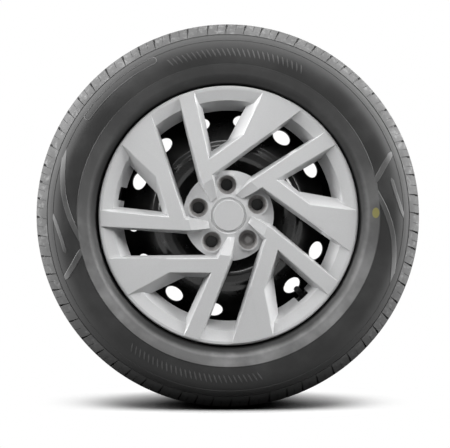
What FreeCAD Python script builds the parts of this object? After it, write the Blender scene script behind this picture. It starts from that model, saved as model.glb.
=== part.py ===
"""Car wheel with tyre: steel wheel, moulded cover and snap-in valve.

Millimetres. The spin axis is Y and the outboard face looks along -Y, with Z up. The origin is the wheel's
centre. "Out" names a distance from the wheel's middle plane towards the outboard face, so y = -out.
"""
import FreeCAD
import Part
import Sketcher
import math
import os

SIZES = [
    ("tyre_radius", 351.0, "outer radius of the tread"),
    ("section_half", 113.0, "half of the tyre's section width"),
    ("tread_half", 75.0, "half of the flat tread's width"),
    ("crown_drop", 4.5, "fall of the tread from its middle to its edge"),
    ("shoulder_fall", 24.0, "radial drop from the crown to the shoulder line"),
    ("shoulder_inset", 15.0, "shoulder line, in from the widest section"),
    ("widest_fall", 64.0, "radial drop from the crown to the widest section"),
    ("guard_rise", 19.0, "rim guard above the flange"),
    ("guard_inset", 5.0, "rim guard, in from the widest section"),
    ("lip_rise", 2.0, "lip of the bead above the flange"),
    ("shoulder_curve", 34.0, "radius of the shoulder's section"),
    ("upper_wall_curve", 72.0, "radius of the upper sidewall's section"),
    ("lower_wall_curve", 95.0, "radius of the lower sidewall's section"),
    ("sidewall", 8.0, "thickness of the sidewall"),
    ("inner_upper_curve", 46.0, "radius of the upper sidewall inside"),
    ("inner_lower_curve", 70.0, "radius of the lower sidewall inside"),
    ("crown_wall", 15.0, "thickness of the tread, belts and plies at the crown"),
    ("toe_width", 20.0, "width of the bead on its seat"),
    ("groove_width", 9.0, "width of a circumferential tread groove"),
    ("groove_depth", 8.0, "depth of a circumferential tread groove"),
    ("inner_groove", 17.0, "inner groove, from the middle plane"),
    ("outer_groove", 48.0, "outer groove, from the middle plane"),
    ("slot_count", 64, "shoulder slots on each side"),
    ("slot_width", 2.6, "width of a shoulder slot"),
    ("slot_depth", 5.0, "depth of a shoulder slot under the tread edge"),
    ("slot_start", 60.0, "inner end of a shoulder slot, from the middle plane"),
    ("line_width", 2.4, "width of the moulded line under the shoulder"),
    ("line_depth", 1.6, "depth of the moulded line under the shoulder"),
    ("seat_radius", 218.3, "bead seat radius of the rim"),
    ("rim_half", 82.55, "half of the width between the flanges"),
    ("rim_sheet", 2.8, "thickness of the rim's strip"),
    ("flange_height", 17.5, "flange height above the bead seat"),
    ("flange_reach", 12.5, "reach of the flange's curl past its inner face"),
    ("hump_height", 1.3, "safety hump above the seat"),
    ("hump_gap", 3.0, "safety hump, past the toe of the bead"),
    ("well_depth", 17.3, "well depth under the bead seat"),
    ("well_out", 38.0, "outboard end of the well's floor"),
    ("well_back", 12.0, "inboard end of the well's floor, past the middle plane"),
    ("offset", 43.0, "hub face, outboard of the middle plane"),
    ("disc_sheet", 4.0, "thickness of the disc"),
    ("hub_bore", 28.55, "radius of the hub bore"),
    ("pad_radius", 74.0, "radius of the flat hub pad"),
    ("pad_bend", 11.0, "width of the bend round the hub pad"),
    ("pad_step", 6.0, "rise of the bend round the hub pad"),
    ("nose_rise", 27.0, "nose ring above the hub face"),
    ("nose_inner", 104.0, "inner radius of the nose ring's top"),
    ("nose_outer", 121.0, "outer radius of the nose ring's top"),
    ("nose_bend", 5.0, "width of the bend inside the nose ring"),
    ("nose_soft", 1.5, "rise of the bend inside the nose ring"),
    ("ledge_fall", 6.0, "ledge below the nose ring's top"),
    ("ledge_outer", 135.0, "outer radius of the ledge"),
    ("ledge_width", 8.0, "width of the ledge"),
    ("ledge_tilt", 1.5, "fall of the ledge"),
    ("foot_inset", 28.0, "foot of the disc's flank, inboard of the hub face"),
    ("foot_width", 5.0, "width of the bend from the flank to the skirt"),
    ("foot_depth", 7.0, "depth of the bend from the flank to the skirt"),
    ("skirt_back", 10.0, "inboard end of the disc's skirt, past the middle plane"),
    ("bolt_circle", 56.0, "radius of the bolt circle"),
    ("bolt_count", 5, "wheel bolts"),
    ("bolt_hole", 7.5, "radius of a bolt hole"),
    ("bolt_seat", 11.0, "outer radius of a bolt's conical seat"),
    ("vent_count", 14, "vent holes in the disc"),
    ("vent_circle", 172.0, "radius of the vent circle"),
    ("vent_hole", 17.0, "radius of a vent hole"),
    ("cover_margin", 1.8, "cover's edge, in from the top of the rim's flange"),
    ("cover_wall", 2.6, "thickness of the cover"),
    ("cover_gap", 0.35, "gap from the rim's curl to the cover's edge"),
    ("face_step", 4.0, "arm faces at the edge, over the underside of the cover's edge"),
    ("face_rise", 6.6, "rise of the arm faces towards the hub"),
    ("arm_depth", 19.4, "depth of the arms' side walls at the cover's edge"),
    ("face_end", 72.0, "radius where an arm's face starts to fall to the hub"),
    ("hub_drop", 10.5, "hub plate at the badge, under the arm faces' inner end"),
    ("hub_fall", 11.0, "fall of the hub plate from the badge to its edge"),
    ("hub_radius", 82.0, "outer radius of the hub plate"),
    ("badge_radius", 27.0, "radius of the bare centre badge"),
    ("badge_ring", 33.0, "outer radius of the groove round the badge"),
    ("dish_depth", 6.0, "depth of the ring's facet at its inner edge"),
    ("skirt_depth", 26.0, "depth of the ring's skirt under the facet"),
    ("lug_mouth", 17.0, "mouth radius of a lug pocket"),
    ("lug_floor", 10.7, "radius of the hole in a lug pocket"),
    ("lug_depth", 14.0, "depth of a lug pocket"),
    ("clip_count", 10, "clip tabs behind the cover"),
    ("clip_width", 22.0, "width of a clip tab"),
    ("clip_gap", 0.3, "gap from a clip's barb to the rim"),
    ("clip_bridge", 7.5, "rim's inner wall to the inner face of a clip's leg"),
    ("wire_radius", 1.5, "wire radius of the retaining ring"),
    ("wire_gap", 0.2, "gap from the retaining ring to the clips"),
    ("wire_depth", 22.5, "retaining ring under the arm faces at the edge"),
    ("notch_half", 12.0, "half width of the valve notch"),
    ("valve_angle", -47.0, "place of the valve, degrees from +X towards +Z"),
    ("valve_hole", 5.75, "radius of the valve hole in the rim"),
    ("stem_foot", 7.6, "radius of the stem at the rim"),
    ("foot_height", 3.0, "height of the stem's foot"),
    ("stem_end", 5.6, "radius of the stem at its end"),
    ("end_width", 0.8, "width of the slope at the stem's end"),
    ("end_height", 1.5, "height of the slope at the stem's end"),
    ("stem_length", 22.0, "rubber stem's length outside the rim"),
    ("stem_gap", 0.3, "gap from the stem's shoulders to the rim"),
    ("head_length", 6.0, "length of the stem's head"),
    ("stem_head", 9.5, "radius of the stem's head inside the tyre"),
    ("tube_radius", 3.0, "outer radius of the brass tube in the rubber"),
    ("thread_radius", 3.85, "radius of the tube's threaded end"),
    ("tube_length", 36.0, "tube's end above the rim"),
    ("thread_step", 0.8, "height of the step under the tube's thread"),
    ("thread_edge", 0.6, "bevel at the tube's tip"),
    ("chamber_floor", 2.0, "floor of the tube's chamber above the rim"),
    ("chamber_slope", 1.0, "height of the slope at the chamber's floor"),
    ("core_radius", 2.5, "radius of the chamber for the valve core"),
    ("core_length", 22.0, "length of the valve core's barrel"),
    ("core_sink", 1.2, "top of the core's barrel under the tube's end"),
    ("core_neck", 1.95, "radius of the barrel's foot under its seal's shoulder"),
    ("core_chamber", 1.65, "radius of the barrel's bore for the spring"),
    ("web_height", 2.0, "thickness of the web that guides the pin"),
    ("shoulder_height", 4.0, "seal's shoulder above the barrel's foot"),
    ("shoulder_slope", 0.5, "height of the slope over that shoulder"),
    ("seal_start", 0.8, "start of the core's seal above the barrel's foot"),
    ("seal_slope", 0.4, "height of the slopes of the core's seal"),
    ("core_fit", 0.05, "running fit of the core's barrel and pin"),
    ("pin_radius", 0.6, "radius of the valve pin"),
    ("pin_head", 1.8, "radius of the pin's head and its seal"),
    ("pin_drop", 4.0, "end of the pin's head under the barrel's foot"),
    ("head_top", 2.4, "top of the pin's head under the barrel's foot"),
    ("collar_drop", 6.8, "spring's collar under the top of the barrel"),
    ("collar_radius", 1.45, "radius of the spring's collar"),
    ("collar_height", 1.0, "height of the spring's collar"),
    ("pin_sink", 0.3, "top of the pin under the top of the barrel"),
    ("spring_wire", 0.2, "wire radius of the valve spring"),
    ("cap_radius", 5.4, "outer radius of the valve cap"),
    ("cap_gap", 0.3, "gap between the cap and the thread"),
    ("cap_wall", 1.3, "thickness of the cap's top"),
    ("cap_edge", 1.0, "bevel round the cap's top"),
]

FULL_TURN = 360.0
ARMS = 5
LEAN = math.radians(45.0)
VENT_START = 4.0
LUG_START = 93.0
CLOSED_LUG = 3
SPRING_TURNS = 6
NOTCH_STEP = 144.0
NOTCH_LEAD = 0.5
# How far cuts reach past what they cut: in general, over the arms, round the cover and at a slot's mouth.
CUT_OVER = 1.0
FACE_OVER = 6.0
TRIM_OVER = 20.0
MOUTH_OVER = 8.0
# The same as a share of the cover's radius, of its skirt's depth, and in sheets or walls beyond a hole.
FAR_SHARE = 1.4
RELIEF_SHARE = 1.5
HOLE_SHEETS = 2
VALVE_HOLE_SHEETS = 4
LUG_WALLS = 1.6
# Shares of the flange's reach and height at its top, at its round and at the end of its curl.
TOP_REACH = 0.35
ROUND_HEIGHT = 0.62
CURL_HEIGHT = 0.6
CURL_TOP = 0.93
CURL_REACH = 0.8
# Shares of the hump's height: fall of the seat to its toe, foot of the hump, ledge inboard of the well.
SEAT_FALL = 0.8
HUMP_FOOT = 0.5
LEDGE_FALL = 3.0
# Shares of the toe's width, a groove's width, the crown's drop, the shoulder's fall and a slot's depth.
BEAD_REACH = 0.8
GROOVE_DRAFT = 0.12
GROOVE_DROP = 0.2
SLOT_REACH = 0.62
SLOT_RUNOUT = 0.4
# Share of the disc's sheet that a bolt's conical seat sinks, and how far its cutter stands over the face.
SEAT_SINK = 0.8
SEAT_OVER = 0.01
# In walls of the cover: bevel of its edge, badge's rise, sink of the groove round it, closed lug's floor.
EDGE_BEVEL = 0.8
BADGE_RISE = 0.4
BADGE_SINK = 0.6
DOME_RISE = 1.3
# In walls of the cover under the ring's bend: where a clip's barb starts, peaks and ends, and its leg's end.
BARB_START = 4.6
BARB_PEAK = 6.5
BARB_END = 8.4
LEG_END = 10.4
# Shares of the cover's radius and of its skirt's depth at a valve notch.
NOTCH_OVER = 0.02
NOTCH_START = 0.4
# Shares of the stem's head: radius at its end, and height of its slope.
HEAD_END = 0.8
HEAD_SLOPE = 0.6
TUBE_BORE = 0.6
# Shares of the cover's radius: facet's outer and inner edge, skirt's free edge.
RING_EDGE = 0.972
RING_BEND = 0.89
RING_END = 0.815

# One forked arm of the cover, the top one, seen from outboard, as shares of the cover's radius: left edge,
# inner corners and right edge at the face, then the same corners at the free back edge.
ARM_FACE = [(-0.446, 1.148), (-0.208, 0.253), (-0.134, 0.112), (-0.096, 0.140), (-0.122, 0.312), (0.757, 0.965)]
ARM_BACK = [(-0.452, 1.146), (-0.228, 0.236), (-0.146, 0.098), (-0.080, 0.132), (-0.096, 0.304), (0.770, 0.948)]
# The opening between the arm's two branches, at the face and at the back edge.
FORK_FACE = [(-0.329, 1.188), (-0.149, 0.4385), (0.1126, 0.623), (0.390, 1.167)]
FORK_BACK = [(-0.273, 1.185), (-0.130, 0.4975), (-0.008, 0.5775), (0.311, 1.174)]

doc = FreeCAD.newDocument("car_wheel")
sheet = doc.addObject("Spreadsheet::Sheet", "sizes")


class Size:
    """A number together with the sheet formula that gives it."""

    def __init__(self, formula, number):
        self.formula = formula
        self.number = number

    def __add__(self, other):
        other = as_size(other)
        return Size(f"({self.formula} + {other.formula})", self.number + other.number)

    def __sub__(self, other):
        return self + as_size(other) * -1

    def __mul__(self, factor):
        return Size(f"{self.formula} * ({factor:.6f})", self.number * factor)

    def __neg__(self):
        return self * -1


def as_size(value):
    """The value as a Size, also where it is a plain number."""
    return value if isinstance(value, Size) else Size(f"({value:.6f})", value)


def fill_sheet():
    """Write the driving dimensions to the sheet and hand them back by name."""
    named = {}
    for row, (alias, number, note) in enumerate(SIZES, start=1):
        sheet.set(f"A{row}", note)
        sheet.set(f"B{row}", str(number))
        sheet.setAlias(f"B{row}", alias)
        named[alias] = Size(f"sizes.{alias}", number)
    doc.recompute()
    return named


S = fill_sheet()


def bind(target, **sizes):
    """Bind properties to sheet formulas."""
    for prop, size in sizes.items():
        target.setExpression(prop, as_size(size).formula)


def origin_feature(body, role):
    """A plane or axis of the body's own origin."""
    return next(item for item in body.Origin.OriginFeatures if item.Role == role)


def new_body(name):
    """An empty body whose label names its file."""
    body = doc.addObject("PartDesign::Body", name)
    body.Label = name
    return body


def new_sketch(body, name, role, height=None):
    """A sketch on one of the body's origin planes, or at a height over it."""
    sketch = body.newObject("Sketcher::SketchObject", name)
    sketch.AttachmentSupport = [(origin_feature(body, role), "")]
    sketch.MapMode = "FlatFace"
    if height is not None:
        sketch.setExpression("AttachmentOffset.Base.z", height.formula)
    return sketch


def edge_shape(start, end, radius):
    """A line, or an arc that turns left (radius over 0) or right (under 0)."""
    first = FreeCAD.Vector(*start, 0)
    last = FreeCAD.Vector(*end, 0)
    if radius is None:
        return Part.LineSegment(first, last)
    chord = last - first
    left = FreeCAD.Vector(-chord.y, chord.x, 0).normalize()
    rise = math.sqrt(radius ** 2 - (chord.Length / 2) ** 2)
    centre = (first + last) * 0.5 + left * math.copysign(rise, radius)
    if radius < 0:
        first, last = last, first
    circle = Part.Circle(centre, FreeCAD.Vector(0, 0, 1), abs(radius))
    return Part.ArcOfCircle(circle, circle.parameter(first), circle.parameter(last))


def draw(sketch, corners, arcs=None):
    """A closed outline through corners, with arcs on the edges that start at the numbered corners."""
    arcs = arcs or {}
    corners = [(as_size(across), as_size(along)) for across, along in corners]
    spots = [(across.number, along.number) for across, along in corners]
    count = len(spots)
    ends = []
    for index in range(count):
        radius = arcs[index].number if index in arcs else None
        sketch.addGeometry(edge_shape(spots[index], spots[(index + 1) % count], radius))
        ends.append((2, 1) if radius is not None and radius < 0 else (1, 2))
    for index in range(count):
        after = (index + 1) % count
        sketch.addConstraint(Sketcher.Constraint("Coincident", index, ends[index][1], after, ends[after][0]))
    for index, (across, along) in enumerate(corners):
        for kind, axis, size in (("DistanceX", -2, across), ("DistanceY", -1, along)):
            if abs(size.number) < 1e-9:
                sketch.addConstraint(Sketcher.Constraint("PointOnObject", index, ends[index][0], axis))
                continue
            rule = Sketcher.Constraint(kind, -1, 1, index, ends[index][0], size.number)
            bind(sketch, **{f"Constraints[{sketch.addConstraint(rule)}]": size})
    for index, size in arcs.items():
        rule = Sketcher.Constraint("Radius", index, abs(size.number))
        turn = math.copysign(1.0, size.number)
        bind(sketch, **{f"Constraints[{sketch.addConstraint(rule)}]": size * turn})


def revolve(body, name, corners, arcs=None, role="XY_Plane", cut=False):
    """Turn an outline of (radius, along the axis) a full turn round the sketch's upright axis."""
    sketch = new_sketch(body, f"{name}_outline", role)
    draw(sketch, corners, arcs)
    feature = body.newObject("PartDesign::Groove" if cut else "PartDesign::Revolution", name)
    feature.Profile = sketch
    feature.ReferenceAxis = (sketch, ["V_Axis"])
    feature.Angle = FULL_TURN
    return feature


def loft(body, kind, name, sections):
    """A ruled loft through outlines at heights over the wheel's middle plane, outboard."""
    sketches = []
    for number, (height, corners) in enumerate(sections):
        sketch = new_sketch(body, f"{name}_section_{number}", "XZ_Plane", height)
        draw(sketch, corners)
        sketches.append(sketch)
    feature = body.newObject(f"PartDesign::{kind}", name)
    feature.Profile = sketches[0]
    feature.Sections = [(sketch, [""]) for sketch in sketches[1:]]
    feature.Ruled = True
    return feature


def round_pattern(body, name, features, count):
    """Repeat features evenly round the spin axis."""
    pattern = body.newObject("PartDesign::PolarPattern", name)
    pattern.Originals = features
    pattern.Axis = (origin_feature(body, "Y_Axis"), [""])
    pattern.Angle = FULL_TURN
    bind(pattern, Occurrences=count)
    body.Tip = pattern
    return pattern


def miters(points, closed):
    """Shifts of the corners when every edge moves one unit to its left."""
    edges = list(zip(points, points[1:] + points[:1]))
    normals = []
    for (ax, ay), (bx, by) in edges:
        length = math.hypot(bx - ax, by - ay)
        normals.append((-(by - ay) / length, (bx - ax) / length))
    shifts = []
    for index in range(len(points)):
        before = normals[index - 1]
        after = normals[index]
        if not closed and index == 0:
            before = after
        if not closed and index == len(points) - 1:
            after = before
        share = 1 + before[0] * after[0] + before[1] * after[1]
        shifts.append(((before[0] + after[0]) / share, (before[1] + after[1]) / share))
    return shifts


def strip(path, wall):
    """Outline of a sheet of even thickness that lies on the left of a path."""
    shifts = miters([(across.number, along.number) for across, along in path], closed=False)
    far = [(across + wall * sx, along + wall * sy) for (across, along), (sx, sy) in zip(path, shifts)]
    return path + far[::-1]


def shares(points, inward=None):
    """Cover outline from shares of its radius, moved inwards by a wall where one is given."""
    radius = cover_radius()
    outline = [(radius * x, radius * z) for x, z in points]
    if inward is None:
        return outline
    doubled_area = sum(ax * bz - bx * az for (ax, az), (bx, bz) in zip(points, points[1:] + points[:1]))
    turn = math.copysign(1.0, doubled_area)
    shifts = miters(points, closed=True)
    return [(x + inward * (sx * turn), z + inward * (sz * turn)) for (x, z), (sx, sz) in zip(outline, shifts)]


def both_sides(half):
    """(radius, out) points of the outboard half and their mirror, as (radius, y) pairs."""
    outboard = [(radius, -out) for radius, out in half]
    inboard = [(radius, as_size(out)) for radius, out in half]
    return outboard, inboard[::-1]


def on_wheel(angle, radius, out):
    """Point at an angle round the wheel."""
    turn = math.radians(angle)
    return FreeCAD.Vector(radius * math.cos(turn), -out, radius * math.sin(turn))


def facing_out(point):
    """Placement at a point with local Z towards outboard."""
    return FreeCAD.Placement(point, FreeCAD.Rotation(FreeCAD.Vector(1, 0, 0), 90))


def seat_profile():
    """The rim's seat for a bead, (radius, out) from the flange's top to the toe of the seat."""
    seat = S["seat_radius"]
    top = seat + S["flange_height"]
    inner_face = S["rim_half"]
    return [
        (top, inner_face + S["flange_reach"] * TOP_REACH),
        (seat + S["flange_height"] * ROUND_HEIGHT, inner_face),
        (seat + S["hump_height"], inner_face),
        (seat, inner_face - S["hump_height"]),
        (seat - S["hump_height"] * SEAT_FALL, inner_face - S["toe_width"]),
    ]


def make_tyre():
    """Moulded tyre: one section turned, then grooved, slotted and lined."""
    body = new_body("tyre")
    crown = S["tyre_radius"]
    shoulder = (crown - S["shoulder_fall"], S["section_half"] - S["shoulder_inset"])
    widest = (crown - S["widest_fall"], S["section_half"])
    flange_top = S["seat_radius"] + S["flange_height"]
    guard = (flange_top + S["guard_rise"], S["section_half"] - S["guard_inset"])
    lip = (flange_top + S["lip_rise"], S["rim_half"] + S["flange_reach"])
    seat = seat_profile()
    tread_edge = (crown - S["crown_drop"], S["tread_half"])
    bead_top = (seat[1][0], S["rim_half"] - S["toe_width"] * BEAD_REACH)
    inner_widest = (widest[0], widest[1] - S["sidewall"])
    inner_shoulder = (crown - S["crown_wall"] - S["crown_drop"], S["tread_half"] - S["sidewall"])
    outer_half = [tread_edge, shoulder, widest, guard, lip] + seat
    inner_half = [bead_top, inner_widest, inner_shoulder]
    outboard, inboard = both_sides(outer_half + inner_half)
    corners = outboard + inboard
    last = len(corners) - 1
    bead = len(outer_half)
    arcs = {
        0: -S["shoulder_curve"], last - 1: -S["shoulder_curve"],
        1: -S["upper_wall_curve"], last - 2: -S["upper_wall_curve"],
        2: -S["lower_wall_curve"], last - 3: -S["lower_wall_curve"],
        bead: S["inner_lower_curve"], last - bead - 1: S["inner_lower_curve"],
        bead + 1: S["inner_upper_curve"], last - bead - 2: S["inner_upper_curve"],
        last: -crown_radius(),
    }
    revolve(body, "carcass", corners, arcs)
    cut_tread_grooves(body, crown)
    cut_shoulder_line(body, shoulder)
    cut_shoulder_slots(body, crown)
    return body


def crown_radius():
    """Radius of the tread's section that gives the crown's drop over half the tread."""
    half = S["tread_half"]
    drop = S["crown_drop"]
    formula = f"(({half.formula})^2 + ({drop.formula})^2) / (2 * {drop.formula})"
    return Size(f"({formula})", (half.number ** 2 + drop.number ** 2) / (2 * drop.number))


def cut_tread_grooves(body, crown):
    """Four grooves round the tread, with sides that lean open."""
    draft = S["groove_width"] * GROOVE_DRAFT
    floor = crown - S["groove_depth"] - S["crown_drop"] * GROOVE_DROP
    above = crown + CUT_OVER
    for name, place in (("inner", S["inner_groove"]), ("outer", S["outer_groove"])):
        for side, sign in (("front", -1), ("back", 1)):
            middle = place * sign
            half = S["groove_width"] * 0.5
            corners = [
                (above, middle - half - draft),
                (floor, middle - half + draft),
                (floor, middle + half - draft),
                (above, middle + half + draft),
            ]
            revolve(body, f"{name}_groove_{side}", corners, cut=True)


def cut_shoulder_line(body, shoulder):
    """Thin moulded line under the shoulder, on both sides."""
    radius, out = shoulder
    half = S["line_width"] * 0.5
    depth = S["line_depth"]
    for side, sign in (("front", -1), ("back", 1)):
        place = out * sign
        corners = [
            (radius + half, place + half * sign),
            (radius - half - depth, place + half * sign),
            (radius - depth, place - depth * sign),
        ]
        revolve(body, f"shoulder_line_{side}", corners, cut=True)


def cut_shoulder_slots(body, crown):
    """Lateral slots that open at the tread's edge, repeated round both shoulders."""
    slots = []
    for side, sign in (("front", -1), ("back", 1)):
        sketch = new_sketch(body, f"slot_outline_{side}", "XY_Plane")
        start = S["slot_start"]
        floor = crown - S["crown_drop"] - S["slot_depth"]
        edge_out = S["tread_half"] + S["shoulder_fall"] * SLOT_REACH
        edge_radius = crown - S["shoulder_fall"] * SLOT_REACH
        corners = [
            (crown + CUT_OVER, start * sign),
            (floor, start * sign),
            (floor, S["tread_half"] * sign),
            (edge_radius - S["slot_depth"] * SLOT_RUNOUT, edge_out * sign),
            (crown + CUT_OVER, (edge_out + MOUTH_OVER) * sign),
        ]
        draw(sketch, corners)
        slot = body.newObject("PartDesign::Pocket", f"slot_{side}")
        slot.Profile = sketch
        slot.Midplane = True
        bind(slot, Length=S["slot_width"])
        slots.append(slot)
    round_pattern(body, "slots", slots, S["slot_count"])


def rim_path():
    """Tyre side of the rim's strip, (radius, y) from the outboard curl to the inboard curl."""
    seat = S["seat_radius"]
    floor = seat - S["well_depth"]
    hump = S["rim_half"] - S["toe_width"] - S["hump_gap"]
    well_rise = S["well_depth"] - S["hump_height"]
    curl = [
        (seat + S["flange_height"] * CURL_HEIGHT, S["rim_half"] + S["flange_reach"]),
        (seat + S["flange_height"] * CURL_TOP, S["rim_half"] + S["flange_reach"] * CURL_REACH),
    ]
    edge = curl + seat_profile() + [(seat + S["hump_height"] * HUMP_FOOT, hump)]
    outboard, inboard = both_sides(edge)
    middle = [
        (floor + well_rise, -S["well_out"] - well_rise),
        (floor, -S["well_out"]),
        (floor, S["well_back"]),
        (seat - S["hump_height"] * LEDGE_FALL, S["well_back"] + S["well_depth"]),
    ]
    return outboard + middle + inboard


def make_rim():
    """Rolled strip of even thickness, pierced for the valve."""
    body = new_body("wheel_rim")
    revolve(body, "strip", strip(rim_path(), S["rim_sheet"]))
    hole = body.newObject("PartDesign::SubtractiveCylinder", "valve_hole")
    reach = S["rim_sheet"] * VALVE_HOLE_SHEETS
    bind(hole, Radius=S["valve_hole"], Height=reach * 2)
    start = FreeCAD.Placement(FreeCAD.Vector(0, 0, -reach.number), FreeCAD.Rotation())
    hole.Placement = valve_placement().multiply(start)
    return body


def well_inner_radius():
    """Inner radius of the rim's well, where the disc is welded."""
    return S["seat_radius"] - S["well_depth"] - S["rim_sheet"]


def disc_path():
    """Inboard face of the disc, (radius, y) from the hub bore to the end of the skirt."""
    hub = S["offset"]
    nose = hub + S["nose_rise"]
    ledge = nose - S["ledge_fall"]
    skirt = well_inner_radius() - S["disc_sheet"]
    return [
        (S["hub_bore"], -hub),
        (S["pad_radius"], -hub),
        (S["pad_radius"] + S["pad_bend"], -hub - S["pad_step"]),
        (S["nose_inner"], -nose + S["nose_soft"]),
        (S["nose_inner"] + S["nose_bend"], -nose),
        (S["nose_outer"], -nose),
        (S["ledge_outer"] - S["ledge_width"], -ledge - S["ledge_tilt"]),
        (S["ledge_outer"], -ledge),
        (skirt - S["foot_width"], -vent_foot()),
        (skirt, -vent_foot() + S["foot_depth"]),
        (skirt, S["skirt_back"]),
    ]


def vent_foot():
    """Out distance where the disc's flank turns into its skirt."""
    return S["offset"] - S["foot_inset"]


def flank():
    """Start radius, start out and slope of the disc's flank that carries the vent holes."""
    start_radius = S["ledge_outer"].number
    start_out = (S["offset"] + S["nose_rise"] - S["ledge_fall"]).number
    end_radius = (well_inner_radius() - S["disc_sheet"] - S["foot_width"]).number
    slope = math.atan2(start_out - vent_foot().number, end_radius - start_radius)
    return start_radius, start_out, slope


def make_disc():
    """Pressed disc with vent holes square to its flank and conical bolt seats."""
    body = new_body("wheel_disc")
    revolve(body, "pressing", strip(disc_path(), -S["disc_sheet"]))
    start_radius, start_out, slope = flank()
    radius = S["vent_circle"].number
    out = start_out - (radius - start_radius) * math.tan(slope)
    vent = body.newObject("PartDesign::SubtractiveCylinder", "vent")
    under = S["disc_sheet"] * HOLE_SHEETS
    bind(vent, Radius=S["vent_hole"], Height=under * 2 + S["disc_sheet"])
    turn = math.radians(VENT_START)
    lean = math.sin(slope)
    outward = FreeCAD.Vector(math.cos(turn) * lean, -math.cos(slope), math.sin(turn) * lean)
    start = on_wheel(VENT_START, radius, out) - outward * under.number
    vent.Placement = FreeCAD.Placement(start, FreeCAD.Rotation(FreeCAD.Vector(0, 0, 1), outward))
    round_pattern(body, "vents", [vent], S["vent_count"])
    hole = body.newObject("PartDesign::SubtractiveCylinder", "bolt_hole")
    bind(hole, Radius=S["bolt_hole"], Height=under * 2 + S["disc_sheet"])
    back = (S["offset"] - under).number
    opposite_valve = S["valve_angle"].number + FULL_TURN / 2
    hole.Placement = facing_out(on_wheel(opposite_valve, S["bolt_circle"].number, back))
    round_pattern(body, "bolt_holes", [hole], S["bolt_count"])
    seat = body.newObject("PartDesign::SubtractiveCone", "bolt_seat")
    bind(seat, Radius1=S["bolt_hole"], Radius2=S["bolt_seat"], Height=S["disc_sheet"] * SEAT_SINK)
    seat_out = (S["offset"] + S["disc_sheet"] * (1 - SEAT_SINK + SEAT_OVER)).number
    seat.Placement = facing_out(on_wheel(opposite_valve, S["bolt_circle"].number, seat_out))
    round_pattern(body, "bolt_seats", [seat], S["bolt_count"])
    return body


def cover_radius():
    """Outer radius of the cover, from the rim's flange."""
    return S["seat_radius"] + S["flange_height"] - S["cover_margin"]


def cover_seat():
    """Out distance of the underside of the cover's edge, over the rim's curl."""
    return S["rim_half"] + S["flange_reach"] + S["cover_gap"]


def face_at_edge():
    """Out distance of the arm faces at the cover's edge."""
    return cover_seat() + S["face_step"]


def face_at_hub():
    """Out distance of the arm faces at their inner end."""
    return face_at_edge() + S["face_rise"]


def arm_back():
    """Out distance of the arms' free back edges."""
    return face_at_edge() - S["arm_depth"]


def hub_top():
    """Out distance of the hub plate at the badge."""
    return face_at_hub() - S["hub_drop"]


def ring_path():
    """Outboard face of the cover's ring, (radius, y) from its edge to the free end of its skirt."""
    radius = cover_radius()
    wall = S["cover_wall"]
    top = cover_seat() + wall
    bend = top - S["dish_depth"]
    return [
        (radius, -top + wall * EDGE_BEVEL),
        (radius - wall * EDGE_BEVEL, -top),
        (radius * RING_EDGE, -top),
        (radius * RING_BEND, -bend),
        (radius * RING_END, -bend + S["skirt_depth"]),
    ]


def hub_path():
    """Outboard face of the hub plate, (radius, y) from the centre of the bare badge outwards."""
    wall = S["cover_wall"]
    top = hub_top()
    return [
        (as_size(0), -top - wall * BADGE_RISE),
        (S["badge_radius"], -top - wall * BADGE_RISE),
        (S["badge_radius"] + wall * BADGE_RISE, -top + wall * BADGE_SINK),
        (S["badge_ring"] - wall * BADGE_SINK, -top + wall * BADGE_SINK),
        (S["badge_ring"], -top),
        (S["hub_radius"], -top + S["hub_fall"]),
    ]


def stretched(face, back, height):
    """Outline that the walls from the back edge to the face reach at a greater height."""
    middle = face_at_edge().number + S["face_rise"].number / 2
    low = arm_back().number
    reach = (height.number - low) / (middle - low)
    return [(bx + (fx - bx) * reach, bz + (fz - bz) * reach) for (fx, fz), (bx, bz) in zip(face, back)]


def add_arms(body, inset):
    """Five forked arms, smaller by an inset all round where they are the cover's hollow."""
    low = arm_back() - inset * 2
    high = face_at_hub() + FACE_OVER
    outline = [shares(stretched(ARM_FACE, ARM_BACK, level), inset) for level in (low, high)]
    fork_low = low - CUT_OVER
    fork_high = high + CUT_OVER
    opening = [shares(stretched(FORK_FACE, FORK_BACK, level), -inset) for level in (fork_low, fork_high)]
    arm = loft(body, "AdditiveLoft", "arm", [(low, outline[0]), (high, outline[1])])
    fork = loft(body, "SubtractiveLoft", "fork", [(fork_low, opening[0]), (fork_high, opening[1])])
    end = cover_radius() * RING_EDGE + S["cover_wall"] - inset
    far = cover_radius() * FAR_SHARE
    above = high + TRIM_OVER
    below = low - TRIM_OVER
    outside = [
        (as_size(0), -hub_top() + inset),
        (S["badge_ring"] + S["cover_wall"] * 2, -hub_top() + inset),
        (S["face_end"], -face_at_hub() + inset),
        (end, -face_at_edge() + inset),
        (end, -below),
        (far, -below),
        (far, -above),
        (as_size(0), -above),
    ]
    round_pattern(body, "arms", [arm, fork], as_size(ARMS))
    revolve(body, "face_trim", outside, cut=True)


def clear_rim(body):
    """Take away the arms' walls where they would stand in the rim's curl, behind the ring."""
    half_wall = S["cover_wall"] * 0.5
    radius = cover_radius()
    top = cover_seat() + S["cover_wall"]
    bend = top - S["dish_depth"]
    below = bend - S["skirt_depth"] * RELIEF_SHARE
    revolve(body, "rim_relief", [
        (radius * RING_BEND, -bend + half_wall),
        (radius * RING_EDGE, -top + half_wall),
        (radius * FAR_SHARE, -top + half_wall),
        (radius * FAR_SHARE, -below),
        (radius * RING_BEND, -below),
    ], cut=True)


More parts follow.
